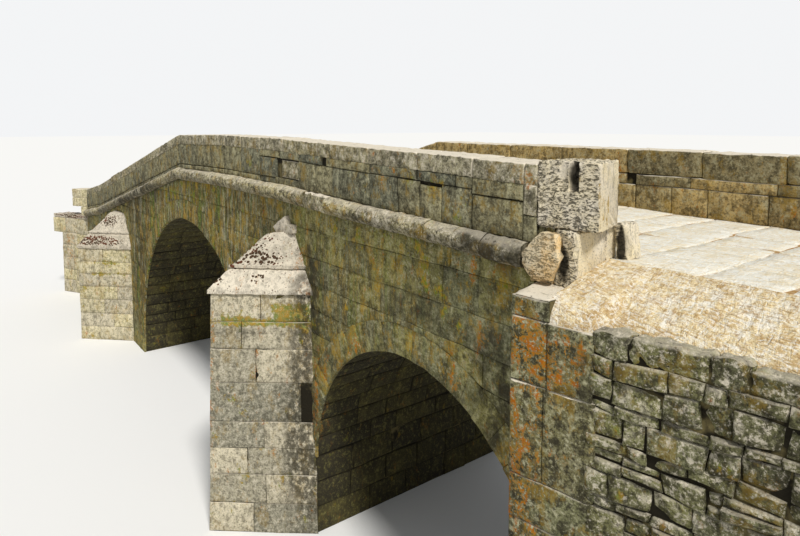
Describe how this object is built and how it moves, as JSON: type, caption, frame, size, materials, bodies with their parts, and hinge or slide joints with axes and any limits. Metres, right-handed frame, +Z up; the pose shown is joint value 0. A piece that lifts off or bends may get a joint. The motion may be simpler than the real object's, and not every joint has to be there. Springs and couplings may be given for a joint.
{
  "type": "stone arch bridge",
  "caption": "Old stone road bridge with unequal round arches, pointed cutwaters with pyramid caps, a roll string course and coped parapets.",
  "frame": {"origin": "middle of the central pier's foot, at the level where it meets the river bed or water", "axes": "+X along the road towards the near bank, +Z up, -Y towards the side that the picture shows"},
  "size_m": [27.9259, 7.25, 6.59],
  "materials": {
    "arch_stone": "rough weathered stone",
    "ashlar": "rough weathered stone",
    "cap_stone": "rough weathered stone",
    "coping_stone": "rough weathered stone",
    "end_stone": "rough weathered stone",
    "parapet_stone": "rough weathered stone",
    "road_stone": "rough weathered stone",
    "rubble": "rough weathered stone",
    "string_stone": "rough weathered stone"
  },
  "bodies": {
    "root": {"central_pier": "ashlar", "far_buttress": "ashlar", "far_buttress_cap": "cap_stone", "far_cutwater": "ashlar", "far_cutwater_cap": "cap_stone", "far_left_coping": "coping_stone", "far_left_flare": "parapet_stone", "far_left_spandrel": "ashlar", "far_left_wing_coping": "coping_stone", "far_left_wing_wall": "ashlar", "far_middle_spandrel": "ashlar", "far_parapet": "parapet_stone", "far_right_coping": "coping_stone", "far_right_spandrel": "ashlar", "far_string": "string_stone", "left_abutment": "ashlar", "left_arch_barrel": "arch_stone", "near_broken_string_stone": "string_stone", "near_buttress": "ashlar", "near_buttress_cap": "cap_stone", "near_coping": "coping_stone", "near_cutwater": "ashlar", "near_cutwater_cap": "cap_stone", "near_end_block": "end_stone", "near_guard_stone": "end_stone", "near_left_flare": "parapet_stone", "near_left_spandrel": "ashlar", "near_left_string": "string_stone", "near_left_wing_coping": "coping_stone", "near_left_wing_wall": "ashlar", "near_lower_end_block": "end_stone", "near_middle_spandrel": "ashlar", "near_parapet": "parapet_stone", "near_right_spandrel": "ashlar", "near_right_string": "string_stone", "near_string_end_stone": "string_stone", "near_verge_packing": "rubble", "near_wing_quoins": "ashlar", "near_wing_rubble": "rubble", "right_abutment": "ashlar", "right_arch_barrel": "arch_stone", "road_paving": "road_stone", "rubble_fill": "rubble"}
  },
  "joints": []
}
